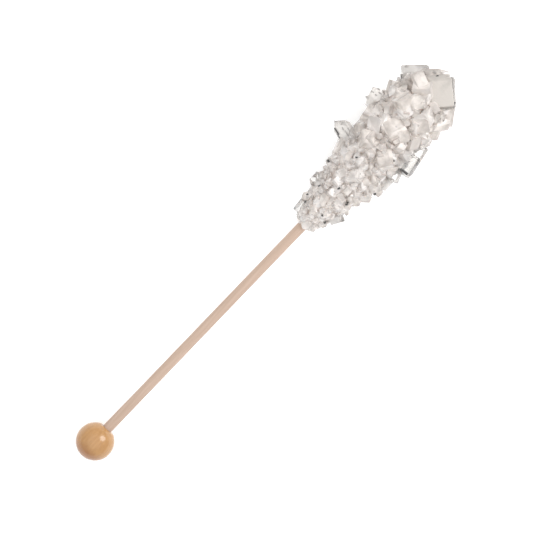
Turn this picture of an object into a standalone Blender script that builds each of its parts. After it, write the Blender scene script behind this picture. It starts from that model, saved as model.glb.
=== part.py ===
"""Rock candy stick: clear sugar crystals grown on a birch stick that ends in a wooden ball.

The stick lies along X, with the ball at its low end. Every shape is made in the stick's own frame:
X runs along the stick from the ball's centre, Y points to its left and Z points up. An empty then
tips that frame so that the ball and the crystals both rest on the ground, and centres it.
Lengths are in metres and angles in radians unless a name says otherwise.
"""

import math
import random
from collections import namedtuple

import bmesh
import bpy
from mathutils import Matrix, Quaternion, Vector

MM = 0.001

# Ball and stick
BALL_RADIUS = 6.0 * MM
BALL_FACE_RADIUS = 2.7 * MM
BALL_FACE_CHAMFER = 0.25 * MM
BALL_REST_CUT = 0.05 * MM
SOCKET_FLOOR = -1.5 * MM
STICK_RADIUS = 1.6 * MM
STICK_CHAMFER = 0.25 * MM
STICK_END = 149.0 * MM
FIT_GAP = 0.3 * MM

# How the candy lies: the clump is thicker than the ball, so the stick climbs towards it.
LIE_ANGLE = math.radians(1.95)
GROUND_BLOCK = 0.4

# Clump: (distance along the stick, radius out to the crystals' usual tips), both in millimetres.
CLUMP_OUTLINE_MM = (
    (93.0, 2.5), (95.0, 3.6), (97.0, 4.2), (99.0, 5.0), (104.0, 6.2), (109.0, 6.9), (113.0, 8.0),
    (121.0, 9.3), (130.0, 9.6), (137.0, 9.9), (144.0, 10.1), (149.0, 9.0), (153.5, 6.3),
)
CORE_INSET_SHARE = 0.1
CORE_INSET_MAX_MM = 1.1
CORE_END = 154.0 * MM
CORE_SIDES = 14
GRAIN_AT_START = 2.2 * MM
GRAIN_AT_END = 5.6 * MM
CRYSTAL_SEED = 8
GOLDEN_ANGLE = math.pi * (3.0 - math.sqrt(5.0))

# Sugar crystals lean by this much from square: their long faces meet at 103 degrees.
CRYSTAL_SHEAR = math.tan(math.radians(13.0))

# Facets of each crystal habit, as planes (point, normal) that trim a unit cube.
HABITS = {
    "prism": (
        ((0.50, 0.00, 0.12), (1.0, 0.0, 0.75)),
        ((0.50, 0.00, -0.20), (1.0, 0.0, -0.95)),
        ((0.36, 0.50, 0.00), (0.8, 1.0, 0.0)),
        ((0.42, -0.50, 0.00), (0.7, -1.0, 0.0)),
        ((0.00, 0.50, 0.27), (0.0, 0.9, 1.0)),
        ((0.00, -0.50, -0.27), (0.0, -0.9, -1.0)),
        ((0.00, -0.50, 0.36), (0.0, -0.8, 1.0)),
    ),
    "gem": (
        ((0.50, 0.00, -0.15), (1.0, 0.1, 0.85)),
        ((0.42, 0.00, -0.50), (1.0, 0.0, -1.0)),
        ((0.34, 0.50, 0.00), (0.9, 1.0, 0.2)),
        ((0.30, -0.50, 0.00), (0.9, -1.0, 0.1)),
        ((0.00, 0.50, 0.30), (0.0, 1.0, 0.8)),
        ((0.00, -0.50, -0.30), (0.0, -1.0, -0.8)),
    ),
    "block": (
        ((0.00, 0.50, 0.33), (0.0, 1.0, 1.0)),
        ((0.34, 0.00, 0.50), (1.0, 0.0, 1.0)),
        ((0.50, -0.50, 0.22), (1.0, -1.0, 0.8)),
        ((-0.30, 0.00, -0.50), (-0.9, 0.1, -1.0)),
    ),
    "slab": (
        ((0.34, 0.50, 0.00), (1.0, 0.8, 0.15)),
        ((0.38, -0.50, 0.00), (1.0, -0.7, -0.1)),
        ((0.00, 0.38, 0.50), (0.0, 1.0, 0.8)),
        ((0.00, -0.36, -0.50), (0.0, -1.0, -0.8)),
        ((-0.40, 0.50, 0.00), (-1.0, 0.9, 0.0)),
    ),
    "wedge": (
        ((0.50, 0.00, -0.10), (1.0, 0.15, 1.5)),
        ((0.50, -0.12, 0.00), (0.9, 1.2, 0.0)),
        ((0.00, -0.50, -0.30), (0.2, -1.0, -0.9)),
    ),
    "chip": (
        ((0.42, 0.30, 0.35), (1.0, 0.7, 0.8)),
        ((0.45, -0.32, 0.20), (1.0, -1.0, 0.3)),
        ((0.30, 0.10, -0.50), (0.8, 0.2, -1.0)),
        ((-0.25, 0.50, 0.20), (-0.6, 1.0, 0.4)),
        ((-0.20, -0.40, 0.45), (-0.5, -0.8, 1.0)),
    ),
}

Crystal = namedtuple("Crystal", "habit centre pointing spin size")


def compass(heading, pitch):
    """Unit vector at a heading in degrees, from +X towards +Y, raised by a pitch in degrees."""
    turn, rise = math.radians(heading), math.radians(pitch)
    return Vector((math.cos(rise) * math.cos(turn), math.cos(rise) * math.sin(turn), math.sin(rise)))


def big(habit, centre_mm, heading, pitch, spin, size_mm):
    """A crystal that is placed by hand: centre and size in millimetres, angles in degrees."""
    return Crystal(
        habit,
        Vector(centre_mm) * MM,
        compass(heading, pitch),
        math.radians(spin),
        Vector(size_mm) * MM,
    )


# Crystals that stand out of the clump, from the tip down its left side, its right side and its front.
BIG_CRYSTALS = (
    big("block", (151.6, -2.2, 1.2), 57, 4, 12, (11.0, 9.2, 8.6)),
    big("block", (152.4, 0.9, 0.6), 30, 2, 60, (9.4, 7.0, 7.0)),
    big("slab", (150.7, 6.8, -0.8), -47, 6, 35, (8.6, 5.0, 4.6)),
    big("block", (149.2, 5.0, 5.0), 96, 10, 20, (5.6, 4.4, 4.2)),
    big("block", (147.7, -7.2, 0.6), -56, 8, 15, (7.0, 6.4, 6.0)),
    big("block", (142.8, 7.6, 1.0), 24, 8, 40, (6.4, 4.4, 4.6)),
    big("gem", (137.3, 10.7, 0.4), 92, 6, 80, (8.6, 5.0, 5.8)),
    big("slab", (132.6, 8.2, 2.4), 8, 4, 50, (6.0, 4.2, 3.6)),
    big("prism", (123.4, 10.8, 0.6), 92, 8, 70, (9.2, 5.0, 4.6)),
    big("block", (119.0, 7.9, 1.0), 20, 10, 10, (5.2, 4.0, 4.0)),
    big("chip", (113.2, 7.2, 0.2), 75, 0, 30, (2.8, 2.2, 2.2)),
    big("chip", (106.1, 6.5, 0.8), 80, 10, 60, (4.0, 3.4, 3.2)),
    big("chip", (100.5, 4.9, 0.6), 110, 5, 10, (3.4, 2.8, 2.6)),
    big("slab", (97.2, 4.2, 0.0), 5, 4, 20, (4.4, 3.0, 2.4)),
    big("block", (142.1, -8.2, 1.2), -70, 4, 30, (5.2, 4.4, 4.4)),
    big("slab", (138.0, -8.0, 1.4), 6, 4, 70, (6.0, 4.0, 4.2)),
    big("prism", (131.2, -10.1, 0.6), 9, 0, 55, (10.4, 4.6, 4.4)),
    big("prism", (124.2, -9.4, 0.2), -72, 0, 20, (6.0, 3.4, 3.2)),
    big("slab", (120.3, -9.6, 1.0), 2, 4, 80, (4.6, 1.8, 2.6)),
    big("wedge", (117.6, -7.8, 1.4), -98, 6, 30, (6.6, 4.0, 3.6)),
    big("wedge", (112.6, -7.0, 1.2), -78, 4, 60, (5.8, 3.6, 3.2)),
    big("chip", (109.6, -6.4, 0.8), -70, 0, 20, (3.4, 2.2, 2.2)),
    big("wedge", (106.2, -6.2, 0.6), -112, 4, 10, (4.0, 2.2, 2.2)),
    big("slab", (101.8, -5.8, 0.4), -30, 2, 40, (4.4, 2.6, 2.4)),
    big("chip", (97.8, -3.6, 0.4), -60, 0, 30, (3.0, 2.4, 2.2)),
    big("block", (133.8, 0.2, 8.2), 160, 20, 25, (6.6, 5.6, 4.4)),
    big("block", (141.5, 3.0, 8.4), 70, 30, 15, (6.4, 5.4, 5.0)),
    big("slab", (140.6, -4.6, 7.6), -40, 25, 10, (6.2, 5.0, 4.6)),
    big("slab", (126.0, 3.6, 7.6), 120, 25, 35, (6.0, 4.8, 4.2)),
    big("block", (125.4, -4.2, 7.6), -130, 30, 5, (5.6, 4.8, 4.4)),
)

# Crystals under the clump. The ground trims the first three to the faces that it rests on.
UNDER_CRYSTALS = (
    big("block", (145.2, 4.4, -7.6), 60, -55, 20, (6.6, 5.6, 5.4)),
    big("block", (144.0, -4.8, -7.6), -60, -55, 40, (6.6, 5.4, 5.6)),
    big("slab", (134.0, -4.0, -7.4), -80, -50, 15, (6.0, 5.2, 4.8)),
    big("prism", (134.6, 5.0, -6.8), 75, -40, 30, (7.0, 4.8, 4.6)),
    big("block", (126.0, 1.2, -7.2), 30, -60, 20, (5.6, 5.0, 4.8)),
    big("chip", (116.0, -2.6, -6.4), -50, -50, 10, (4.6, 4.0, 3.8)),
    big("wedge", (109.0, 2.4, -5.0), 110, -40, 25, (4.6, 3.2, 3.0)),
)


def link(obj, collection):
    collection.objects.link(obj)
    return obj


def material(name, colour, roughness, transmission=0.0):
    """A Principled material of one colour."""
    made = bpy.data.materials.new(name)
    made.use_nodes = True
    shader = made.node_tree.nodes["Principled BSDF"]
    shader.inputs["Base Color"].default_value = (*colour, 1.0)
    shader.inputs["Roughness"].default_value = roughness
    shader.inputs["Metallic"].default_value = 0.0
    shader.inputs["Transmission Weight"].default_value = transmission
    made.diffuse_color = (*colour, 1.0)
    return made


def trim(bm, point, normal):
    """Slices off what lies beyond a plane and closes the cut with one face."""
    everything = bm.verts[:] + bm.edges[:] + bm.faces[:]
    cut = bmesh.ops.bisect_plane(
        bm, geom=everything, plane_co=point, plane_no=normal, clear_outer=True
    )
    rim = [item for item in cut["geom_cut"] if isinstance(item, bmesh.types.BMEdge)]
    if rim:
        bmesh.ops.contextual_create(bm, geom=rim)


def turned_object(name, profile, sides, collection):
    """A shape turned about X from (along, radius) points that run from the high end to the low end."""
    mesh = bpy.data.meshes.new(name)
    points = [(radius, 0.0, along) for along, radius in profile]
    mesh.from_pydata(points, [(i, i + 1) for i in range(len(points) - 1)], [])
    obj = link(bpy.data.objects.new(name, mesh), collection)
    screw = obj.modifiers.new("Turn", "SCREW")
    screw.axis = "Z"
    screw.steps = sides
    screw.render_steps = sides
    screw.use_merge_vertices = True
    screw.merge_threshold = 0.00001
    obj.rotation_euler = (0.0, math.pi / 2.0, 0.0)
    return obj


def clump_radius(along):
    """Usual radius of the clump at a distance along the stick, read between the outline's points."""
    outline = [(x * MM, r * MM) for x, r in CLUMP_OUTLINE_MM]
    if along <= outline[0][0]:
        return outline[0][1]
    for (x0, r0), (x1, r1) in zip(outline, outline[1:]):
        if along <= x1:
            return r0 + (r1 - r0) * (along - x0) / (x1 - x0)
    return outline[-1][1]


def grain_size(along):
    """Usual crystal size: fine where the stick enters the clump and coarse at the tip."""
    start, end = CLUMP_OUTLINE_MM[0][0] * MM, CLUMP_OUTLINE_MM[-1][0] * MM
    share = (along - start) / (end - start)
    return GRAIN_AT_START + (GRAIN_AT_END - GRAIN_AT_START) * share


def grown_crystals():
    """Crystals that cover the clump, in rings whose spacing follows the crystal size."""
    rng = random.Random(CRYSTAL_SEED)
    grown = []
    along = 94.6 * MM
    turn = 0.0
    while along < 150.0 * MM:
        grain, ring = grain_size(along), clump_radius(along)
        count = max(5, round(2.0 * math.pi * ring / (1.45 * grain)))
        for _ in range(count):
            turn += 2.0 * math.pi / count + rng.uniform(-0.12, 0.12)
            out = Vector((0.0, math.cos(turn), math.sin(turn)))
            size = Vector(grain * rng.uniform(*span) for span in ((1.1, 1.6), (0.8, 1.2), (0.7, 1.1)))
            lean = rng.uniform(-0.5, 1.1)
            swing = rng.uniform(-0.5, 0.5)
            across = out.cross(Vector((1.0, 0.0, 0.0)))
            pointing = out * math.cos(lean) + Vector((math.sin(lean), 0.0, 0.0)) + across * swing
            depth = ring - 0.42 * size.x * math.cos(lean)
            place = out * depth + Vector((along + rng.uniform(-0.3, 0.3) * grain, 0.0, 0.0))
            habit = rng.choice(("prism", "block", "block", "slab", "chip", "wedge"))
            grown.append(Crystal(habit, place, pointing.normalized(), rng.uniform(0.0, 6.28), size))
        turn += GOLDEN_ANGLE
        along += 0.9 * grain
    return grown


def crystal_object(name, crystal, collection):
    """One crystal: a cube trimmed to its habit, then sized, skewed, turned and placed."""
    bm = bmesh.new()
    bmesh.ops.create_cube(bm, size=1.0)
    for point, normal in HABITS[crystal.habit]:
        trim(bm, Vector(point), Vector(normal))
    shear = Matrix.Identity(4)
    shear[0][2] = CRYSTAL_SHEAR * crystal.size.z / crystal.size.x
    turn = crystal.pointing.to_track_quat("X", "Z") @ Quaternion((1.0, 0.0, 0.0), crystal.spin)
    sized = Matrix.Diagonal((*crystal.size, 1.0)) @ shear
    bm.transform(Matrix.Translation(crystal.centre) @ turn.to_matrix().to_4x4() @ sized)
    bmesh.ops.recalc_face_normals(bm, faces=bm.faces[:])
    mesh = bpy.data.meshes.new(name)
    bm.to_mesh(mesh)
    bm.free()
    return link(bpy.data.objects.new(name, mesh), collection)


def as_helper(obj):
    """Keeps a cutter or a joined shape out of the model."""
    obj.hide_render = True
    obj.display_type = "WIRE"
    return obj


def add_boolean(obj, label, operation, other):
    """A Boolean modifier against one object or every object of a collection."""
    modifier = obj.modifiers.new(label, "BOOLEAN")
    modifier.operation = operation
    modifier.solver = "EXACT"
    if isinstance(other, bpy.types.Collection):
        modifier.operand_type = "COLLECTION"
        modifier.collection = other
    else:
        modifier.object = other
    return modifier


def make_ball(collection):
    """The bead: a turned sphere with a drilled face on the stick's side, its socket open to the stick."""
    face_edge = math.asin((BALL_FACE_RADIUS + BALL_FACE_CHAMFER) / BALL_RADIUS)
    face_along = BALL_RADIUS * math.cos(face_edge) - 0.3 * BALL_FACE_CHAMFER
    socket_radius = STICK_RADIUS + FIT_GAP
    arc_steps = 14
    profile = [(SOCKET_FLOOR, 0.0), (SOCKET_FLOOR, socket_radius)]
    profile += [(face_along, socket_radius), (face_along, BALL_FACE_RADIUS)]
    for step in range(arc_steps + 1):
        polar = face_edge + (math.pi - face_edge) * step / arc_steps
        radius = 0.0 if step == arc_steps else BALL_RADIUS * math.sin(polar)
        profile.append((BALL_RADIUS * math.cos(polar), radius))
    ball = turned_object("handle_ball", profile, 32, collection)
    ball.data.materials.append(material("varnished_bead", (0.66, 0.40, 0.20), 0.25))
    return ball


def make_stick(collection):
    """The dowel, from the bottom of the ball's socket to its hidden end inside the clump."""
    start = SOCKET_FLOOR + FIT_GAP
    profile = [
        (STICK_END, 0.0),
        (STICK_END, STICK_RADIUS - STICK_CHAMFER),
        (STICK_END - STICK_CHAMFER, STICK_RADIUS),
        (start + STICK_CHAMFER, STICK_RADIUS),
        (start, STICK_RADIUS - STICK_CHAMFER),
        (start, 0.0),
    ]
    stick = turned_object("stick", profile, 24, collection)
    stick.data.materials.append(material("birch", (0.69, 0.52, 0.41), 0.6))
    return stick


def make_core(collection):
    """The heart of the clump, which the crystals grow from."""
    profile = [(CORE_END, 0.0)]
    for along, radius in reversed(CLUMP_OUTLINE_MM):
        inset = min(CORE_INSET_SHARE * radius, CORE_INSET_MAX_MM)
        profile.append((along * MM, (radius - inset) * MM))
    profile.append((CLUMP_OUTLINE_MM[0][0] * MM, 0.0))
    core = turned_object("sugar_crystals", profile, CORE_SIDES, collection)
    core.data.materials.append(material("clear_sugar", (0.88, 0.85, 0.82), 0.1, 0.8))
    return core


def make_clump(collection, growth, cutters):
    """The clump: core and crystals united, then bored for the stick."""
    clump = make_core(collection)
    crystals = (*BIG_CRYSTALS, *UNDER_CRYSTALS, *grown_crystals())
    for number, crystal in enumerate(crystals):
        as_helper(crystal_object(f"crystal_{number:03d}", crystal, growth))
    add_boolean(clump, "Grow", "UNION", growth)
    bore_start, bore_end = 80.0 * MM, STICK_END + FIT_GAP
    bore_radius = STICK_RADIUS + FIT_GAP
    bore_profile = [(bore_end, 0.0), (bore_end, bore_radius), (bore_start, bore_radius), (bore_start, 0.0)]
    bore = as_helper(turned_object("stick_bore", bore_profile, 24, cutters))
    add_boolean(clump, "Bore", "DIFFERENCE", bore)
    return clump, bore


def make_ground(cutters):
    """A block below the ground, which trims the shapes that rest on it."""
    bpy.ops.mesh.primitive_cube_add(size=GROUND_BLOCK, location=(0.0, 0.0, -GROUND_BLOCK / 2.0))
    ground = bpy.context.object
    ground.name = "ground"
    for owner in list(ground.users_collection):
        owner.objects.unlink(ground)
    return as_helper(link(ground, cutters))


def world_corners(objects):
    """Lowest and highest corner of the objects, with their modifiers."""
    bpy.context.view_layer.update()
    graph = bpy.context.evaluated_depsgraph_get()
    corners = []
    for obj in objects:
        evaluated = obj.evaluated_get(graph)
        corners += [evaluated.matrix_world @ vertex.co for vertex in evaluated.data.vertices]
    low = Vector(min(corner[axis] for corner in corners) for axis in range(3))
    high = Vector(max(corner[axis] for corner in corners) for axis in range(3))
    return low, high


def main():
    for obj in list(bpy.data.objects):
        bpy.data.objects.remove(obj)
    scene_root = bpy.context.scene.collection
    parts = bpy.data.collections.new("rock_candy_stick")
    growth = bpy.data.collections.new("crystal_growth")
    cutters = bpy.data.collections.new("cutters")
    for collection in (parts, growth, cutters):
        scene_root.children.link(collection)

    ball = make_ball(parts)
    stick = make_stick(parts)
    clump, bore = make_clump(parts, growth, cutters)
    ground = make_ground(cutters)

    lie = link(bpy.data.objects.new("lie", None), parts)
    for obj in (ball, stick, clump, bore, *growth.objects):
        obj.parent = lie
    lie.rotation_euler = (0.0, -LIE_ANGLE, 0.0)
    lie.location = (0.0, 0.0, BALL_RADIUS - BALL_REST_CUT)
    for obj in (ball, clump):
        add_boolean(obj, "Rest", "DIFFERENCE", ground)
        obj.data.shade_flat()

    low, high = world_corners((ball, stick, clump))
    lie.location.x -= (low.x + high.x) / 2.0
    lie.location.y -= (low.y + high.y) / 2.0
    ball.data.shade_smooth()
    stick.data.shade_smooth()


main()
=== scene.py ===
import math
import random
from collections import namedtuple

import bpy
from mathutils import Matrix, Quaternion, Vector


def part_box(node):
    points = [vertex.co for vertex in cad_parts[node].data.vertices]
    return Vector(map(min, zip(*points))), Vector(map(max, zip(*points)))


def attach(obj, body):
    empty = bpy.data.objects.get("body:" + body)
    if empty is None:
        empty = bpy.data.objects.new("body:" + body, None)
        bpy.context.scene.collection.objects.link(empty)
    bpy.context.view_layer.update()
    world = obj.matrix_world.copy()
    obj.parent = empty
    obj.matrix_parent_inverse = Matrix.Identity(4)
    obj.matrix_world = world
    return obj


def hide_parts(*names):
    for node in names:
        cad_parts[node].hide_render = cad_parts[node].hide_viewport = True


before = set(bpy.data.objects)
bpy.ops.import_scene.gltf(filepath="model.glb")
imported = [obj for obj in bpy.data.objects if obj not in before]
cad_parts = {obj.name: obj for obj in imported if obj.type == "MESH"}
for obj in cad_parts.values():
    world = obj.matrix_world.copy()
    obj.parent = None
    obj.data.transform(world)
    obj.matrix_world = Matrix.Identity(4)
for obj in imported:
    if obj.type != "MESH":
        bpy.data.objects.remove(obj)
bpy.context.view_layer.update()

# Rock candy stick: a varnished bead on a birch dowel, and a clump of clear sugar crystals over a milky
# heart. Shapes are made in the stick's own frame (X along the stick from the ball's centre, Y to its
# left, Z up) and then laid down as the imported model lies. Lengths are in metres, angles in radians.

MM = 0.001

# Bead and dowel
BALL_RADIUS = 6.0 * MM
BALL_REST_CUT = 0.05 * MM
BALL_SOCKET_RADIUS = 1.56 * MM
SOCKET_FLOOR = -1.2 * MM
# Rim of the drilled face, from where the round starts to turn in: along the hole, radius
BALL_RIM = ((5.0 * MM, 3.317 * MM), (5.15 * MM, 3.1 * MM), (5.27 * MM, 2.8 * MM), (5.33 * MM, 2.45 * MM),
            (5.35 * MM, 2.1 * MM), (5.35 * MM, BALL_SOCKET_RADIUS), (SOCKET_FLOOR, BALL_SOCKET_RADIUS))
STICK_RADIUS = 1.6 * MM
STICK_START = -1.0 * MM
STICK_END = 148.5 * MM
STICK_WORN = 0.25 * MM
STICK_UNEVEN = 0.02 * MM
LIE_ANGLE = math.radians(1.95)

# Clump: (distance along the stick, radius out to the crystals' usual tips), both in millimetres.
CLUMP_OUTLINE_MM = (
    (93.0, 2.5), (95.0, 3.6), (97.0, 4.2), (99.0, 5.0), (104.0, 6.2), (109.0, 6.9), (113.0, 8.0),
    (121.0, 9.3), (130.0, 9.6), (137.0, 9.9), (144.0, 10.1), (149.0, 9.0), (153.5, 6.3),
)
HEART_END_MM = [(147.5, 6.2), (150.5, 4.8), (153.0, 3.2), (154.2, 1.8)]
# Faces of the largest crystals that stay free of smaller ones: centre and radius
BARE_PLACES_MM = (((152.0, -2.0, 7.5), 4.6), ((131.5, -12.6, 3.0), 6.3), ((150.2, 4.6, 9.4), 2.4))
CRYSTAL_SHEAR = math.tan(math.radians(13.0))
GOLDEN_ANGLE = math.pi * (3.0 - math.sqrt(5.0))

# Facets of each crystal habit, as planes (point, normal) that trim a unit cube.
HABITS = {
    "prism": (
        ((0.50, 0.00, 0.12), (1.0, 0.0, 0.75)),
        ((0.50, 0.00, -0.20), (1.0, 0.0, -0.95)),
        ((0.36, 0.50, 0.00), (0.8, 1.0, 0.0)),
        ((0.42, -0.50, 0.00), (0.7, -1.0, 0.0)),
        ((0.00, 0.50, 0.27), (0.0, 0.9, 1.0)),
        ((0.00, -0.50, -0.27), (0.0, -0.9, -1.0)),
        ((0.00, -0.50, 0.36), (0.0, -0.8, 1.0)),
    ),
    "gable": (
        ((0.50, 0.20, 0.00), (1.0, 0.92, 0.1)),
        ((0.50, 0.20, 0.00), (1.0, -0.50, -0.1)),
        ((0.27, 0.14, 0.50), (1.0, 0.0, 0.55)),
        ((0.40, 0.14, -0.50), (1.0, 0.1, -1.2)),
        ((0.00, -0.50, 0.24), (0.0, -1.0, 0.9)),
        ((0.00, 0.50, 0.30), (0.0, 1.0, 1.3)),
    ),
    "gem": (
        ((0.46, 0.00, 0.12), (1.0, 0.15, 0.6)),
        ((0.46, 0.00, -0.12), (1.0, -0.1, -0.7)),
        ((0.38, 0.28, 0.00), (1.0, 0.8, 0.25)),
        ((0.36, -0.30, 0.00), (1.0, -0.9, 0.2)),
        ((0.18, 0.46, 0.20), (0.4, 1.0, 0.9)),
        ((0.16, -0.46, 0.22), (0.3, -1.0, 0.8)),
        ((0.20, 0.44, -0.22), (0.5, 1.0, -0.9)),
        ((0.18, -0.44, -0.24), (0.4, -1.0, -1.0)),
        ((0.28, 0.12, 0.42), (0.8, 0.2, 1.1)),
        ((0.26, -0.16, -0.40), (0.7, -0.3, -1.2)),
        ((-0.16, 0.40, 0.26), (-0.6, 1.0, 0.7)),
        ((-0.18, -0.40, 0.24), (-0.7, -1.0, 0.6)),
        ((-0.20, 0.38, -0.26), (-0.6, 1.0, -0.7)),
        ((-0.22, -0.38, -0.24), (-0.7, -0.9, -0.6)),
    ),
    "water_clear": (
        ((0.50, 0.18, 0.00), (1.0, 1.3, 0.1)),
        ((-0.44, -0.50, 0.00), (-1.0, -0.7, 0.1)),
        ((0.00, -0.50, 0.18), (0.0, -1.0, 0.62)),
        ((0.00, 0.50, 0.30), (0.05, 0.8, 1.0)),
        ((0.40, 0.00, 0.50), (1.0, 0.0, 0.9)),
        ((-0.40, 0.00, 0.50), (-1.0, 0.1, 1.2)),
        ((0.00, -0.50, -0.30), (0.0, -1.0, -0.9)),
    ),
    "block": (
        ((0.00, 0.50, 0.33), (0.0, 1.0, 1.0)),
        ((0.34, 0.00, 0.50), (1.0, 0.0, 1.0)),
        ((0.50, -0.50, 0.22), (1.0, -1.0, 0.8)),
        ((-0.30, 0.00, -0.50), (-0.9, 0.1, -1.0)),
    ),
    "slab": (
        ((0.34, 0.50, 0.00), (1.0, 0.8, 0.15)),
        ((0.38, -0.50, 0.00), (1.0, -0.7, -0.1)),
        ((0.00, 0.38, 0.50), (0.0, 1.0, 0.8)),
        ((0.00, -0.36, -0.50), (0.0, -1.0, -0.8)),
        ((-0.40, 0.50, 0.00), (-1.0, 0.9, 0.0)),
    ),
    "wedge": (
        ((0.50, 0.00, -0.10), (1.0, 0.15, 1.5)),
        ((0.50, -0.12, 0.00), (0.9, 1.2, 0.0)),
        ((0.00, -0.50, -0.30), (0.2, -1.0, -0.9)),
    ),
    "chip": (
        ((0.42, 0.30, 0.35), (1.0, 0.7, 0.8)),
        ((0.45, -0.32, 0.20), (1.0, -1.0, 0.3)),
        ((0.30, 0.10, -0.50), (0.8, 0.2, -1.0)),
        ((-0.25, 0.50, 0.20), (-0.6, 1.0, 0.4)),
        ((-0.20, -0.40, 0.45), (-0.5, -0.8, 1.0)),
    ),
}

# tone runs from 0, pale and clear, to 1, dull and beige
Crystal = namedtuple("Crystal", "habit centre pointing spin size tone")


def compass(heading, pitch):
    """Unit vector at a heading in degrees, from +X towards +Y, raised by a pitch in degrees."""
    turn, rise = math.radians(heading), math.radians(pitch)
    return Vector((math.cos(rise) * math.cos(turn), math.cos(rise) * math.sin(turn), math.sin(rise)))


def big(habit, centre_mm, heading, pitch, spin, size_mm, tone=0.6):
    """A crystal that is placed one by one: centre and size in millimetres, angles in degrees."""
    return Crystal(
        habit,
        Vector(centre_mm) * MM,
        compass(heading, pitch),
        math.radians(spin),
        Vector(size_mm) * MM,
        tone,
    )


BIG_CRYSTALS = {
    "tip_block": big("block", (151.2, -1.9, 2.2), 50, 3, 4, (10.4, 8.4, 9.8), 1.0),
    "tip_clear_wedge": big("water_clear", (153.6, -4.6, 2.4), 48, 4, 4, (9.6, 3.6, 6.4), 0.1),
    "tip_crown": big("gem", (155.0, -0.8, 1.6), 24, 8, 30, (6.4, 7.4, 7.0), 0.85),
    "tip_shoulder": big("block", (152.4, 0.9, 0.6), 30, 2, 60, (9.4, 7.0, 7.0)),
    "tip_left_slab": big("slab", (150.7, 6.8, -0.4), -47, 6, 35, (8.8, 5.2, 4.8), 0.7),
    "tip_tilted_block": big("block", (149.8, 4.7, 7.0), 68, -6, 5, (5.4, 4.1, 4.6)),
    "tip_right_block": big("block", (147.7, -7.2, 0.6), -56, 8, 15, (7.0, 6.4, 6.0)),
    "left_shoulder_block": big("block", (142.8, 7.6, 1.0), 24, 8, 40, (6.4, 4.4, 4.6)),
    "left_round_gem": big("gem", (137.0, 11.2, 0.6), 96, 6, 20, (7.8, 7.0, 5.8), 0.75),
    "left_slab": big("slab", (132.6, 8.2, 2.4), 8, 4, 50, (6.0, 4.2, 3.6)),
    "left_tall_prism": big("gable", (123.0, 10.5, 0.8), 76, 0, 4, (9.2, 5.5, 4.8), 0.55),
    "left_lower_block": big("block", (119.0, 7.9, 1.0), 20, 10, 10, (5.2, 4.0, 4.0)),
    "left_dark_chip": big("chip", (113.2, 7.2, 0.2), 75, 0, 30, (2.8, 2.2, 2.2)),
    "left_round_chip": big("chip", (106.1, 6.5, 0.8), 80, 10, 60, (4.0, 3.4, 3.2), 0.1),
    "left_small_chip": big("chip", (100.5, 4.9, 0.6), 110, 5, 10, (3.4, 2.8, 2.6)),
    "left_clear_slab": big("slab", (97.2, 4.2, 0.0), 5, 4, 20, (4.4, 3.0, 2.4), 0.1),
    "right_upper_block": big("block", (142.1, -8.2, 1.2), -70, 4, 30, (5.2, 4.4, 4.4)),
    "right_upper_slab": big("slab", (138.0, -8.0, 1.4), 6, 4, 70, (6.0, 4.0, 4.2)),
    "right_clear_prism": big("water_clear", (131.1, -10.3, 0.8), 11, 0, 6, (10.2, 5.0, 4.2), 0.05),
    "right_clear_step": big("water_clear", (129.2, -10.4, 1.3), 11, 0, 6, (6.2, 4.5, 4.3), 0.2),
    "right_small_prism": big("water_clear", (124.2, -9.2, 0.4), 22, 0, -6, (4.6, 4.6, 3.2), 0.05),
    "right_blade": big("slab", (120.3, -9.6, 1.0), 2, 4, 80, (4.6, 1.8, 2.6), 0.5),
    "right_wedge": big("wedge", (117.6, -7.8, 1.4), -98, 6, 30, (6.6, 4.0, 3.6)),
    "right_spike": big("wedge", (112.6, -7.0, 1.2), -78, 4, 60, (5.8, 3.6, 3.2)),
    "right_chip": big("chip", (109.6, -6.4, 0.8), -70, 0, 20, (3.4, 2.2, 2.2)),
    "right_small_wedge": big("wedge", (106.2, -6.2, 0.6), -112, 4, 10, (4.0, 2.2, 2.2)),
    "right_lower_blade": big("slab", (101.8, -5.8, 0.4), -30, 2, 40, (4.4, 2.6, 2.4), 0.3),
    "right_lower_chip": big("chip", (97.8, -3.6, 0.4), -60, 0, 30, (3.0, 2.4, 2.2)),
    "front_block_a": big("block", (133.8, 0.2, 8.2), 160, 20, 25, (6.6, 5.6, 4.4)),
    "front_block_b": big("block", (141.5, 3.0, 8.4), 70, 30, 15, (6.4, 5.4, 5.0)),
    "front_slab_a": big("slab", (140.6, -4.6, 7.6), -40, 25, 10, (6.2, 5.0, 4.6)),
    "front_slab_b": big("slab", (126.0, 3.6, 7.6), 120, 25, 35, (6.0, 4.8, 4.2)),
    "front_block_c": big("block", (125.4, -4.2, 7.6), -130, 30, 5, (5.6, 4.8, 4.4)),
    "under_foot_left": big("block", (145.2, 4.4, -7.6), 60, -55, 20, (6.6, 5.6, 5.4)),
    "under_foot_right": big("block", (144.0, -4.8, -7.6), -60, -55, 40, (6.6, 5.4, 5.6)),
    "under_slab": big("slab", (134.0, -4.0, -7.4), -80, -50, 15, (6.0, 5.2, 4.8)),
    "under_prism": big("prism", (134.6, 5.0, -6.8), 75, -40, 30, (7.0, 4.8, 4.6)),
    "under_block": big("block", (126.0, 1.2, -7.2), 30, -60, 20, (5.6, 5.0, 4.8)),
    "under_chip": big("chip", (116.0, -2.6, -6.4), -50, -50, 10, (4.6, 4.0, 3.8)),
    "under_wedge": big("wedge", (109.0, 2.4, -5.0), 110, -40, 25, (4.6, 3.2, 3.0)),
}

CLEAR_CRYSTALS = (
    "tip_left_slab", "tip_clear_wedge", "tip_crown", "left_round_gem", "left_tall_prism", "left_round_chip", "left_clear_slab",
    "right_clear_prism", "right_clear_step", "right_small_prism", "right_blade", "right_lower_blade",
)
WATER_CLEAR = (
    "tip_clear_wedge", "left_clear_slab", "left_round_chip",
    "right_clear_prism", "right_clear_step", "right_small_prism",
)

# Depth of the painted-shade flakes under the face they lie in
PAINTED_SHADE_DEPTH_MM = 0.05
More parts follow.
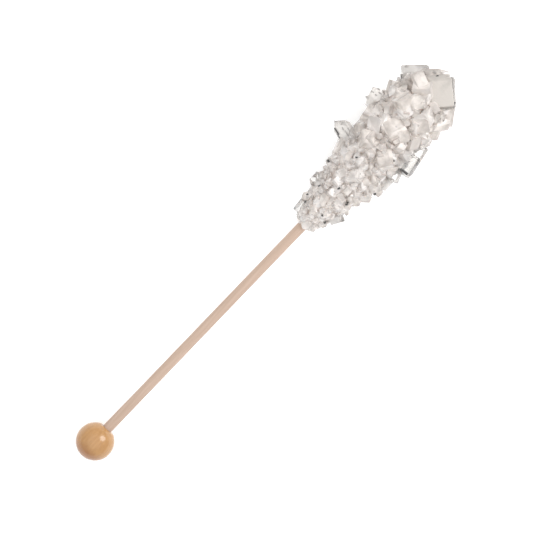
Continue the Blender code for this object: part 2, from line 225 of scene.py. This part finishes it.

# Painted shade, not flaws in the sugar: dark flakes that paint the dark refractions and the light lost
# between crystals.
# Columns: along the stick, to its left, heading, length, width, and 1 for a black one or 0 for a grey one
PAINTED_SHADE_FLAKES_MM = (
    (121.35, 12.5, -101, 1.96, 0.5, 1),
    (120.55, 10.86, -109, 1.57, 0.26, 1),
    (123.21, 11.72, -120, 0.87, 0.22, 0),
    (124.21, 10.06, -102, 1.43, 0.3, 0),
    (122.97, 9.9, -106, 1.61, 0.24, 0),
    (137.69, 12.95, -77, 0.8, 0.3, 0),
    (137.7, 11.51, -77, 0.65, 0.35, 0),
    (135.28, 13.0, -77, 0.94, 0.3, 0),
    (139.54, 12.41, -77, 0.87, 0.4, 0),
    (138.97, 11.04, -77, 0.94, 0.3, 0),
    (126.75, -11.05, -86, 2.22, 0.6, 1),
    (150.6, 10.7, -83, 0.93, 0.7, 0),
    (147.54, 9.91, -130, 1.12, 0.5, 0),
    (152.47, -7.65, 11, 0.74, 0.35, 1),
    (155.14, 3.12, -78, 1.31, 0.5, 0),
    (146.2, -8.92, -1, 0.7, 0.35, 0),
    (134.8, -5.65, -24, 0.67, 0.45, 1),
    (126.94, -6.37, -24, 0.67, 0.6, 1),
    (105.45, 4.71, -24, 0.67, 0.42, 1),
    (101.0, 5.63, -24, 0.67, 0.42, 1),
    (98.91, 4.4, -24, 0.67, 0.5, 1),
    (109.06, -0.08, -24, 0.67, 0.5, 1),
    (107.14, -5.28, -24, 0.67, 0.45, 1),
    (99.5, -2.26, -24, 0.67, 0.55, 1),
    (98.52, -4.36, -24, 0.67, 0.55, 1),
    (108.02, -5.21, -24, 0.67, 0.4, 1),
    (119.77, 2.56, -24, 0.67, 0.45, 1),
    (115.57, -9.17, -24, 0.67, 0.8, 1),
    (112.9, 7.92, -24, 0.67, 0.8, 1),
    (154.77, 1.98, -24, 0.67, 0.4, 1),
)

ball_low, ball_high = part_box("handle_ball")
BALL_CENTRE = Vector(
    (ball_low[0] + BALL_RADIUS, (ball_low[1] + ball_high[1]) / 2.0, BALL_RADIUS - BALL_REST_CUT)
)
LIE = Matrix.Translation(BALL_CENTRE) @ Matrix.Rotation(-LIE_ANGLE, 4, "Y")


# ---------------------------------------------------------------- modelling helpers

def deselect_all():
    bpy.ops.object.select_all(action="DESELECT")


def edit(obj):
    """Opens one object alone in edit mode with everything selected."""
    deselect_all()
    obj.select_set(True)
    bpy.context.view_layer.objects.active = obj
    bpy.ops.object.mode_set(mode="EDIT")
    bpy.ops.mesh.select_all(action="SELECT")


def finish_edit():
    bpy.ops.mesh.select_all(action="SELECT")
    bpy.ops.mesh.normals_make_consistent(inside=False)
    bpy.ops.object.mode_set(mode="OBJECT")


def select_faces(obj, wanted):
    """In edit mode, selects only the faces for which wanted(face) is true."""
    bpy.ops.mesh.select_mode(type="FACE")
    bpy.ops.mesh.select_all(action="DESELECT")
    bpy.ops.object.mode_set(mode="OBJECT")
    for face in obj.data.polygons:
        face.select = wanted(face)
    bpy.ops.object.mode_set(mode="EDIT")


def extrude_ring(along, radius, next_along, next_radius):
    """In edit mode, carries the selected round face along X and resizes it."""
    bpy.ops.mesh.extrude_region_move(TRANSFORM_OT_translate={"value": (next_along - along, 0.0, 0.0)})
    grow = next_radius / radius
    bpy.ops.transform.resize(value=(1.0, grow, grow), center_override=(next_along, 0.0, 0.0))


def slice_off(point, normal):
    """In edit mode, cuts off what lies beyond a plane and closes the cut."""
    bpy.ops.mesh.select_all(action="SELECT")
    bpy.ops.mesh.bisect(plane_co=point, plane_no=normal, clear_outer=True, use_fill=True)


def apply_place(obj):
    """Puts the object's place into its mesh, so the object sits at the origin."""
    deselect_all()
    obj.select_set(True)
    bpy.context.view_layer.objects.active = obj
    bpy.ops.object.transform_apply(location=True, rotation=True, scale=True)


def join(name, objs):
    deselect_all()
    for obj in objs:
        obj.select_set(True)
    bpy.context.view_layer.objects.active = objs[0]
    if len(objs) > 1:
        bpy.ops.object.join()
    joined = bpy.context.object
    joined.name = name
    joined.data.name = name
    return joined


def grow_together(name, objs):
    """One solid from crystals that have grown into one another."""
    first, others = objs[0], objs[1:]
    neighbours = bpy.data.collections.new("neighbours")
    for obj in others:
        neighbours.objects.link(obj)
    union = first.modifiers.new("union", "BOOLEAN")
    union.operation = "UNION"
    union.operand_type = "COLLECTION"
    union.collection = neighbours
    union.solver = "MANIFOLD"
    deselect_all()
    first.select_set(True)
    bpy.context.view_layer.objects.active = first
    bpy.ops.object.modifier_apply(modifier="union")
    for obj in others:
        bpy.data.objects.remove(obj)
    bpy.data.collections.remove(neighbours)
    first.name = name
    first.data.name = name
    return first


def trim_below_ground(obj):
    """Cuts off what would stand below the ground, with a block as the cutter."""
    deselect_all()
    bpy.ops.mesh.primitive_cube_add(size=0.4, location=(0.0, 0.0, -0.2))
    block = bpy.context.object
    trim = obj.modifiers.new("trim", "BOOLEAN")
    trim.operation = "DIFFERENCE"
    trim.object = block
    trim.solver = "MANIFOLD"
    deselect_all()
    obj.select_set(True)
    bpy.context.view_layer.objects.active = obj
    bpy.ops.object.modifier_apply(modifier="trim")
    bpy.data.objects.remove(block)


def give(obj, material):
    obj.data.materials.clear()
    obj.data.materials.append(material)


# ---------------------------------------------------------------- crystals

def cut_template(habit, bevel):
    """One crystal of a habit, cut from a unit cube, its edges slightly worn."""
    deselect_all()
    bpy.ops.mesh.primitive_cube_add(size=1.0)
    crystal = bpy.context.object
    crystal.name = "template_" + habit
    edit(crystal)
    for point, normal in HABITS[habit]:
        slice_off(point, normal)
    if bevel:
        bpy.ops.mesh.select_all(action="SELECT")
        bpy.ops.mesh.bevel(offset=bevel, segments=1, affect="EDGES")
    finish_edit()
    own_place = crystal.data.attributes.new("own_place", "FLOAT_VECTOR", "POINT")
    for entry, vertex in zip(own_place.data, crystal.data.vertices):
        entry.vector = vertex.co
    return crystal


def placed(template, crystal):
    """A copy of the template with its own mesh, sized, skewed, turned and placed as the crystal says."""
    copy = template.copy()
    copy.data = template.data.copy()
    bpy.context.collection.objects.link(copy)
    shear = Matrix.Identity(4)
    shear[0][2] = CRYSTAL_SHEAR * crystal.size.z / crystal.size.x
    turn = crystal.pointing.to_track_quat("X", "Z") @ Quaternion((1.0, 0.0, 0.0), crystal.spin)
    sized = Matrix.Diagonal((*crystal.size, 1.0)) @ shear
    copy.data.transform(LIE @ Matrix.Translation(crystal.centre) @ turn.to_matrix().to_4x4() @ sized)
    own_tone = copy.data.attributes.new("own_tone", "FLOAT", "FACE")
    for entry in own_tone.data:
        entry.value = crystal.tone
    return copy


def clump_radius(along):
    outline = [(x * MM, r * MM) for x, r in CLUMP_OUTLINE_MM]
    if along <= outline[0][0]:
        return outline[0][1]
    for (x0, r0), (x1, r1) in zip(outline, outline[1:]):
        if along <= x1:
            return r0 + (r1 - r0) * (along - x0) / (x1 - x0)
    return outline[-1][1]


def coat(seed, grain_start, grain_end, spread, step, sink, end=152.0):
    """Crystals that cover the clump, in rings whose spacing follows the crystal size."""
    rng, toning = random.Random(seed), random.Random(seed + 100)
    grown = []
    along, turn = 94.4 * MM, 0.0
    while along < end * MM:
        share = (along / MM - 93.0) / 60.5
        grain = (grain_start + (grain_end - grain_start) * share) * MM
        ring = clump_radius(along)
        count = max(5, round(2.0 * math.pi * ring / (spread * grain)))
        for _ in range(count):
            turn += 2.0 * math.pi / count + rng.uniform(-0.12, 0.12)
            out = Vector((0.0, math.cos(turn), math.sin(turn)))
            size = Vector(grain * rng.uniform(*span) for span in ((1.1, 1.7), (0.7, 1.2), (0.55, 1.1)))
            lean = rng.uniform(-0.5, 1.1)
            swing = rng.uniform(-0.6, 0.6)
            across = out.cross(Vector((1.0, 0.0, 0.0)))
            pointing = out * math.cos(lean) + Vector((math.sin(lean), 0.0, 0.0)) + across * swing
            depth = ring - sink * size.x * math.cos(lean)
            place = out * depth + Vector((along + rng.uniform(-0.3, 0.3) * grain, 0.0, 0.0))
            habit = rng.choice(("prism", "block", "block", "slab", "chip", "wedge"))
            spin, tone = rng.uniform(0.0, 6.28), toning.uniform(0.0, 0.5) + 0.25 * share
            if any((place - Vector(bare) * MM).length < reach * MM for bare, reach in BARE_PLACES_MM):
                continue
            grown.append(Crystal(habit, place, pointing.normalized(), spin, size, tone))
        turn += GOLDEN_ANGLE
        along += step * grain
    return grown


def turned_body(name, stations):
    """A round body along the stick through (distance along, radius) stations in millimetres."""
    deselect_all()
    along, radius = stations[0]
    bpy.ops.mesh.primitive_circle_add(
        vertices=30, radius=radius * MM, fill_type="NGON",
        location=(along * MM, 0.0, 0.0), rotation=(0.0, -math.pi / 2.0, 0.0),
    )
    body = bpy.context.object
    body.name = name
    apply_place(body)
    edit(body)
    for next_along, next_radius in stations[1:]:
        extrude_ring(along * MM, radius * MM, next_along * MM, next_radius * MM)
        along, radius = next_along, next_radius
    finish_edit()
    return body


def roughen(body, depth, seed):
    """Break a smooth body up into small facets."""
    edit(body)
    bpy.ops.mesh.subdivide(number_cuts=1)
    bpy.ops.mesh.quads_convert_to_tris()
    bpy.ops.transform.vertex_random(offset=depth, uniform=0.4, normal=0.4, seed=seed)
    finish_edit()


def make_heart(material):
    """The milky heart: a turned body whose skin is roughened into fine facets."""
    stations = [(x, r - min(0.18 * r, 1.7)) for x, r in CLUMP_OUTLINE_MM[2:-2]]
    heart = turned_body("milky_heart", [(93.0, 1.75), (94.2, 2.6)] + stations + HEART_END_MM)
    roughen(heart, 0.45 * MM, 4)
    heart.data.transform(LIE)
    give(heart, material)
    return heart


def make_painted_shade_flakes(dark, template, hosts):
    """Small dark flakes of painted shade, standing in for dark refractions, set just under the faces that
    are seen from above.
    """
    bpy.context.view_layer.update()
    black, grey = [], []
    for along, left, heading, length, width, depth in PAINTED_SHADE_FLAKES_MM:
        above = LIE @ Vector((along * MM, left * MM, 30.0 * MM))
        down = LIE.to_3x3() @ Vector((0.0, 0.0, -1.0))
        hits = [hit[1] for hit in (host.ray_cast(above, down) for host in hosts) if hit[0]]
        if not hits:
            continue
        highest = max(hits, key=lambda point: point.z)
        centre = LIE.inverted() @ highest - Vector((0.0, 0.0, PAINTED_SHADE_DEPTH_MM * MM))
        size = Vector((1.25 * length, 1.35 * width, 0.3)) * MM
        flake = placed(template, Crystal("chip", centre, compass(heading, 0.0), 0.0, size, 1.0))
        (black if depth else grey).append(flake)
    pieces = [join("black_painted_shade_flakes", black), join("grey_painted_shade_flakes", grey)]
    for piece, material in zip(pieces, dark):
        give(piece, material)
    return pieces


# ---------------------------------------------------------------- materials

def new_material(name):
    material = bpy.data.materials.new(name)
    material.use_nodes = True
    return material, material.node_tree, material.node_tree.nodes["Principled BSDF"]


def node(tree, kind, **values):
    made = tree.nodes.new(kind)
    for key, value in values.items():
        if key in made.inputs:
            made.inputs[key].default_value = value
        else:
            setattr(made, key, value)
    return made


def ramp(tree, source, stops):
    """A colour ramp on a value, with (position, colour) stops."""
    made = tree.nodes.new("ShaderNodeValToRGB")
    tree.links.new(source, made.inputs["Fac"])
    elements = made.color_ramp.elements
    while len(elements) < len(stops):
        elements.new(0.5)
    for element, (position, colour) in zip(elements, stops):
        element.position = position
        element.color = (*colour, 1.0) if len(colour) == 3 else colour
    return made.outputs["Color"]


def crystal_sugar(name, clearness, tones, rough):
    """Crystal sugar, cloudy at the root where it grew and clearer towards its free end."""
    material, tree, shader = new_material(name)
    place = tree.nodes.new("ShaderNodeTexCoord").outputs["Object"]
    cloud = node(tree, "ShaderNodeTexNoise", Scale=420.0, Detail=3.0, Roughness=0.55)
    tree.links.new(place, cloud.inputs["Vector"])

    # clearer from root to free end, with clouds
    own_place = node(tree, "ShaderNodeAttribute", attribute_name="own_place")
    split = tree.nodes.new("ShaderNodeSeparateXYZ")
    tree.links.new(own_place.outputs["Vector"], split.inputs["Vector"])
    clearing = node(tree, "ShaderNodeMath", operation="MULTIPLY_ADD")
    clearing.inputs[1].default_value = 0.5
    tree.links.new(cloud.outputs["Fac"], clearing.inputs[0])
    tree.links.new(split.outputs["X"], clearing.inputs[2])
    own_tone = node(tree, "ShaderNodeAttribute", attribute_name="own_tone")
    dulling = node(tree, "ShaderNodeMath", operation="MULTIPLY_ADD")
    dulling.inputs[1].default_value = -0.35
    tree.links.new(own_tone.outputs["Fac"], dulling.inputs[0])
    tree.links.new(clearing.outputs["Value"], dulling.inputs[2])
    weight = ramp(tree, dulling.outputs["Value"], ((0.0, (clearness[0],) * 3), (0.5, (clearness[1],) * 3)))
    tree.links.new(weight, shader.inputs["Transmission Weight"])

    # each crystal has its own tone, a little uneven inside
    toning = node(tree, "ShaderNodeMath", operation="MULTIPLY_ADD")
    toning.inputs[1].default_value = 0.45
    tree.links.new(cloud.outputs["Fac"], toning.inputs[0])
    tree.links.new(own_tone.outputs["Fac"], toning.inputs[2])
    colour = ramp(tree, toning.outputs["Value"], tuple(zip((0.15, 0.8, 1.0), tones)))
    tree.links.new(colour, shader.inputs["Base Color"])

    shader.inputs["IOR"].default_value = 1.54
    dull = ramp(tree, cloud.outputs["Fac"], ((0.4, (0.03, 0.03, 0.03)), (0.8, (rough, rough, rough))))
    tree.links.new(dull, shader.inputs["Roughness"])
    lines = node(tree, "ShaderNodeTexNoise", Scale=1300.0, Detail=2.0)
    tree.links.new(place, lines.inputs["Vector"])
    bump = node(tree, "ShaderNodeBump", Strength=0.4, Distance=0.0002)
    tree.links.new(lines.outputs["Fac"], bump.inputs["Height"])
    tree.links.new(bump.outputs["Normal"], shader.inputs["Normal"])
    return material


def milky_sugar():
    material, tree, shader = new_material("milky_sugar")
    place = tree.nodes.new("ShaderNodeTexCoord").outputs["Object"]
    cloud = node(tree, "ShaderNodeTexNoise", Scale=260.0, Detail=4.0, Roughness=0.6)
    tree.links.new(place, cloud.inputs["Vector"])
    colour = ramp(tree, cloud.outputs["Fac"], ((0.3, (0.78, 0.71, 0.665)), (0.7, (0.90, 0.855, 0.82))))
    tree.links.new(colour, shader.inputs["Base Color"])
    shader.inputs["Roughness"].default_value = 0.3
    shader.inputs["Subsurface Weight"].default_value = 0.4
    shader.inputs["Subsurface Radius"].default_value = (1.0, 0.9, 0.8)
    shader.inputs["Subsurface Scale"].default_value = 0.002
    return material


# Finish of the painted-shade flakes: a near-black or a grey that paints dark refractions and light lost
# between crystals
def painted_shade_finish(name, low, high):
    material, tree, shader = new_material(name)
    place = tree.nodes.new("ShaderNodeTexCoord").outputs["Object"]
    cloud = node(tree, "ShaderNodeTexNoise", Scale=1500.0, Detail=2.0)
    tree.links.new(place, cloud.inputs["Vector"])
    colour = ramp(tree, cloud.outputs["Fac"], ((0.35, low), (0.65, high)))
    tree.links.new(colour, shader.inputs["Base Color"])
    shader.inputs["Roughness"].default_value = 0.25
    return material


def birch():
    material, tree, shader = new_material("birch")
    place = tree.nodes.new("ShaderNodeTexCoord").outputs["Object"]
    stretch = node(tree, "ShaderNodeMapping", Scale=(40.0, 900.0, 900.0))
    tree.links.new(place, stretch.inputs["Vector"])
    fibre = node(tree, "ShaderNodeTexNoise", Scale=1.0, Detail=4.0, Roughness=0.6)
    tree.links.new(stretch.outputs["Vector"], fibre.inputs["Vector"])
    colour = ramp(tree, fibre.outputs["Fac"], ((0.3, (0.418, 0.300, 0.228)), (0.7, (0.511, 0.381, 0.302))))
    tree.links.new(colour, shader.inputs["Base Color"])
    shader.inputs["Roughness"].default_value = 0.6
    bump = node(tree, "ShaderNodeBump", Strength=0.25, Distance=0.0001)
    tree.links.new(fibre.outputs["Fac"], bump.inputs["Height"])
    tree.links.new(bump.outputs["Normal"], shader.inputs["Normal"])
    return material


def varnished_bead():
    """Honey-coloured birch under varnish: fine grain along the hole, darker at the back, partly end grain
    and partly painted shade on the side away from the key lamp.
    """
    material, tree, shader = new_material("varnished_bead")
    place = tree.nodes.new("ShaderNodeTexCoord").outputs["Object"]
    stretch = node(tree, "ShaderNodeMapping", Scale=(130.0, 1100.0, 1100.0))
    tree.links.new(place, stretch.inputs["Vector"])
    fibre = node(tree, "ShaderNodeTexNoise", Scale=1.0, Detail=5.0, Roughness=0.65)
    tree.links.new(stretch.outputs["Vector"], fibre.inputs["Vector"])
    colour = ramp(tree, fibre.outputs["Fac"], ((0.3, (0.376, 0.190, 0.063)), (0.7, (0.453, 0.244, 0.090))))

    # how far a point lies towards the back of the bead, 0 at its middle and 1 at its back
    centred = node(tree, "ShaderNodeMapping", Location=tuple(-c for c in BALL_CENTRE))
    tree.links.new(place, centred.inputs["Vector"])
    split = tree.nodes.new("ShaderNodeSeparateXYZ")
    tree.links.new(centred.outputs["Vector"], split.inputs["Vector"])
    back = node(tree, "ShaderNodeMath", operation="MULTIPLY")
    back.inputs[1].default_value = -1.0 / BALL_RADIUS
    tree.links.new(split.outputs["X"], back.inputs[0])
    blotch = node(tree, "ShaderNodeTexNoise", Scale=260.0, Detail=3.0, Roughness=0.5)
    tree.links.new(place, blotch.inputs["Vector"])
    # darker towards the back, blotched by noise: end grain there, and painted shade on the side away from
    # the light
    end_grain_and_painted_shade = node(tree, "ShaderNodeMath", operation="MULTIPLY_ADD")
    end_grain_and_painted_shade.inputs[1].default_value = 0.5
    tree.links.new(blotch.outputs["Fac"], end_grain_and_painted_shade.inputs[0])
    tree.links.new(back.outputs["Value"], end_grain_and_painted_shade.inputs[2])
    amount = ramp(tree, end_grain_and_painted_shade.outputs["Value"], ((0.55, (0.0, 0.0, 0.0)), (1.15, (1.0, 1.0, 1.0))))
    # mixes in a dark brown that paints both the end grain and shade at the back
    mixed = node(tree, "ShaderNodeMix", data_type="RGBA")
    tree.links.new(amount, mixed.inputs[0])
    for socket in mixed.inputs:
        if socket.type == "RGBA" and socket.name == "A":
            tree.links.new(colour, socket)
        if socket.type == "RGBA" and socket.name == "B":
            socket.default_value = (0.31, 0.132, 0.042, 1.0)
    shade = next(socket for socket in mixed.outputs if socket.type == "RGBA")
    tree.links.new(shade, shader.inputs["Base Color"])
    gloss = ramp(tree, fibre.outputs["Fac"], ((0.3, (0.14, 0.14, 0.14)), (0.7, (0.22, 0.22, 0.22))))
    tree.links.new(gloss, shader.inputs["Roughness"])
    shader.inputs["Specular IOR Level"].default_value = 0.75
    bump = node(tree, "ShaderNodeBump", Strength=0.12, Distance=0.00005)
    tree.links.new(fibre.outputs["Fac"], bump.inputs["Height"])
    tree.links.new(bump.outputs["Normal"], shader.inputs["Normal"])
    return material


# ---------------------------------------------------------------- pieces

def make_ball(material):
    """A turned bead: flat face, drilled blind hole for the dowel, worn rim, small flat where it rests."""
    deselect_all()
    bpy.ops.mesh.primitive_uv_sphere_add(
        segments=72, ring_count=44, radius=BALL_RADIUS, rotation=(0.0, math.pi / 2.0, 0.0)
    )
    ball = bpy.context.object
    ball.name = "varnished_ball"
    apply_place(ball)
    edit(ball)
    along, radius = BALL_RIM[0]
    slice_off((along, 0.0, 0.0), (1.0, 0.0, 0.0))
    select_faces(ball, lambda face: face.normal.x > 0.999 and face.center.x > along - 0.01 * MM)
    for next_along, next_radius in BALL_RIM[1:]:
        extrude_ring(along, radius, next_along, next_radius)
        along, radius = next_along, next_radius
    finish_edit()
    ball.data.transform(LIE)
    edit(ball)
    slice_off((0.0, 0.0, 0.0), (0.0, 0.0, -1.0))
    finish_edit()
    give(ball, material)
    bpy.ops.object.shade_smooth_by_angle(angle=math.radians(30.0))
    return ball


def make_stick(material):
    """A planed dowel: worn ends, and a surface that is very slightly uneven along its length."""
    deselect_all()
    length = STICK_END - STICK_START
    bpy.ops.mesh.primitive_cylinder_add(
        vertices=48, radius=STICK_RADIUS, depth=length,
        location=((STICK_START + STICK_END) / 2.0, 0.0, 0.0), rotation=(0.0, math.pi / 2.0, 0.0),
    )
    stick = bpy.context.object
    stick.name = "birch_stick"
    apply_place(stick)
    edit(stick)
    select_faces(stick, lambda face: abs(face.normal.x) > 0.999)
    bpy.ops.mesh.bevel(offset=STICK_WORN, segments=2, affect="EDGES")
    for share in range(1, 30):
        bpy.ops.mesh.select_all(action="SELECT")
        along = STICK_START + length * share / 30.0
        bpy.ops.mesh.bisect(plane_co=(along, 0.0, 0.0), plane_no=(1.0, 0.0, 0.0))
    bpy.ops.mesh.select_all(action="SELECT")
    bpy.ops.transform.vertex_random(offset=STICK_UNEVEN, uniform=0.0, normal=1.0, seed=12)
    finish_edit()
    stick.data.transform(LIE)
    give(stick, material)
    bpy.ops.object.shade_smooth_by_angle(angle=math.radians(35.0))
    return stick


def main():
    clear = crystal_sugar(
        "water_clear_sugar", (0.85, 0.985),
        ((0.99, 0.985, 0.975), (0.90, 0.875, 0.845), (0.85, 0.82, 0.78)), 0.06,
    )
    glassy = crystal_sugar(
        "glassy_sugar", (0.42, 0.82),
        ((0.93, 0.91, 0.895), (0.78, 0.75, 0.72), (0.70, 0.665, 0.635)), 0.05,
    )
    sugar = crystal_sugar(
        "cloudy_sugar", (0.15, 0.52),
        ((0.915, 0.893, 0.880), (0.78, 0.725, 0.683), (0.57, 0.53, 0.49)), 0.08,
    )
    milk = milky_sugar()
    ball = make_ball(varnished_bead())
    stick = make_stick(birch())
    heart = make_heart(milk)
    large = {habit: cut_template(habit, 0.022) for habit in HABITS}
    small = {habit: cut_template(habit, 0.0) for habit in HABITS}
    pieces = []
    merged = []
    for name, crystal in BIG_CRYSTALS.items():
        piece = placed(large[crystal.habit], crystal)
        piece.name = name
        piece.data.name = name
        if name in CLEAR_CRYSTALS:
            give(piece, clear if name in WATER_CLEAR else glassy)
            pieces.append(piece)
        else:
            merged.append(piece)
    coarse = coat(8, 2.2, 5.6, 1.45, 0.9, 0.42)
    fine = coat(31, 1.2, 2.7, 1.7, 1.15, 0.34, end=150.0)
    for templates, crystals in ((large, coarse), (small, fine)):
        merged += [placed(templates[crystal.habit], crystal) for crystal in crystals]
    skin = grow_together("grown_crystals", merged)
    trim_below_ground(skin)
    give(skin, sugar)
    pieces.append(skin)
    # painted shade: near-black and grey finishes for the flakes that stand in for dark refractions
    painted_shade_finishes = (
        painted_shade_finish("black_painted_shade", (0.03, 0.03, 0.03), (0.09, 0.085, 0.08)),
        painted_shade_finish("grey_painted_shade", (0.22, 0.21, 0.20), (0.36, 0.34, 0.32)),
    )
    pieces += make_painted_shade_flakes(painted_shade_finishes, small["chip"], pieces)
    for template in (*large.values(), *small.values()):
        bpy.data.objects.remove(template)

    for piece, replaced, slot in (
        (ball, "handle_ball", "varnished_bead"),
        (stick, "stick", "birch"),
        (heart, "sugar_crystals", "clear_sugar"),
        *((piece, "sugar_crystals", "clear_sugar") for piece in pieces),
    ):
        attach(piece, "root")
        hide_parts(replaced)


def make_studio():
    scene = bpy.context.scene
    scene.view_settings.view_transform = "Standard"
    scene.cycles.use_denoising = True
    scene.cycles.max_bounces = 20
    scene.cycles.transmission_bounces = 20
    scene.cycles.glossy_bounces = 8
    scene.cycles.diffuse_bounces = 8
    scene.cycles.sample_clamp_indirect = 10.0

    world = bpy.data.worlds.new("studio")
    scene.world = world
    world.use_nodes = True
    tree = world.node_tree
    background = tree.nodes["Background"]
    place = tree.nodes.new("ShaderNodeTexCoord").outputs["Generated"]
    split = tree.nodes.new("ShaderNodeSeparateXYZ")
    tree.links.new(place, split.inputs["Vector"])
    sky = ramp(tree, split.outputs["Z"], ((0.0, (0.8, 0.8, 0.8)), (0.14, (0.86, 0.86, 0.86)), (0.4, (0.92, 0.92, 0.92)), (1.0, (1.12, 1.12, 1.12))))
    tree.links.new(sky, background.inputs["Color"])
    background.inputs["Strength"].default_value = 1.02

    deselect_all()
    bpy.ops.mesh.primitive_plane_add(size=6.0, location=(0.0, 0.0, -0.0002))
    floor = bpy.context.object
    floor.name = "floor"
    material, floor_tree, shader = new_material("pale_floor")
    shader.inputs["Base Color"].default_value = (0.86, 0.86, 0.86, 1.0)
    shader.inputs["Roughness"].default_value = 0.6
    shader.inputs["Emission Color"].default_value = (1.0, 1.0, 1.0, 1.0)
    shader.inputs["Emission Strength"].default_value = 0.28
    give(floor, material)

    # Image right and up, as directions on the floor
    heading = math.radians(46.128)
    right = Vector((math.cos(heading), -math.sin(heading), 0.0))
    up = Vector((math.sin(heading), math.cos(heading), 0.0))

    def lamp(name, direction, distance, size, power):
        data = bpy.data.lights.new(name, "AREA")
        data.shape = "DISK"
        data.size = size
        data.energy = power
        obj = bpy.data.objects.new(name, data)
        bpy.context.collection.objects.link(obj)
        obj.location = direction.normalized() * distance
        obj.rotation_euler = direction.to_track_quat("Z", "Y").to_euler()
        return obj

    lamp("key", right * 0.738 + up * 0.277 + Vector((0.0, 0.0, 0.62)), 0.8, 0.5, 2.8)
    lamp("fill", Vector((0.0, 0.0, 1.0)), 1.2, 2.4, 4.4)

    camera_data = bpy.data.cameras.new("camera")
    camera_data.lens = 200.0
    camera_data.sensor_width = 36.0
    camera = bpy.data.objects.new("camera", camera_data)
    bpy.context.collection.objects.link(camera)
    frame_width = 533 * 0.31 * MM
    distance = frame_width * camera_data.lens / camera_data.sensor_width
    # the stick's middle, seen a little down and left of the frame's middle
    middle = LIE @ Vector((246.0 * 0.31 * MM, 0.0, 0.0))
    target = middle + right * (1.4 * 0.31 * MM) - up * (2.0 * 0.31 * MM)
    camera.location = (target.x, target.y, 0.008 + distance)
    camera.rotation_euler = (0.0, 0.0, math.atan2(right.y, right.x))
    scene.camera = camera


main()
make_studio()
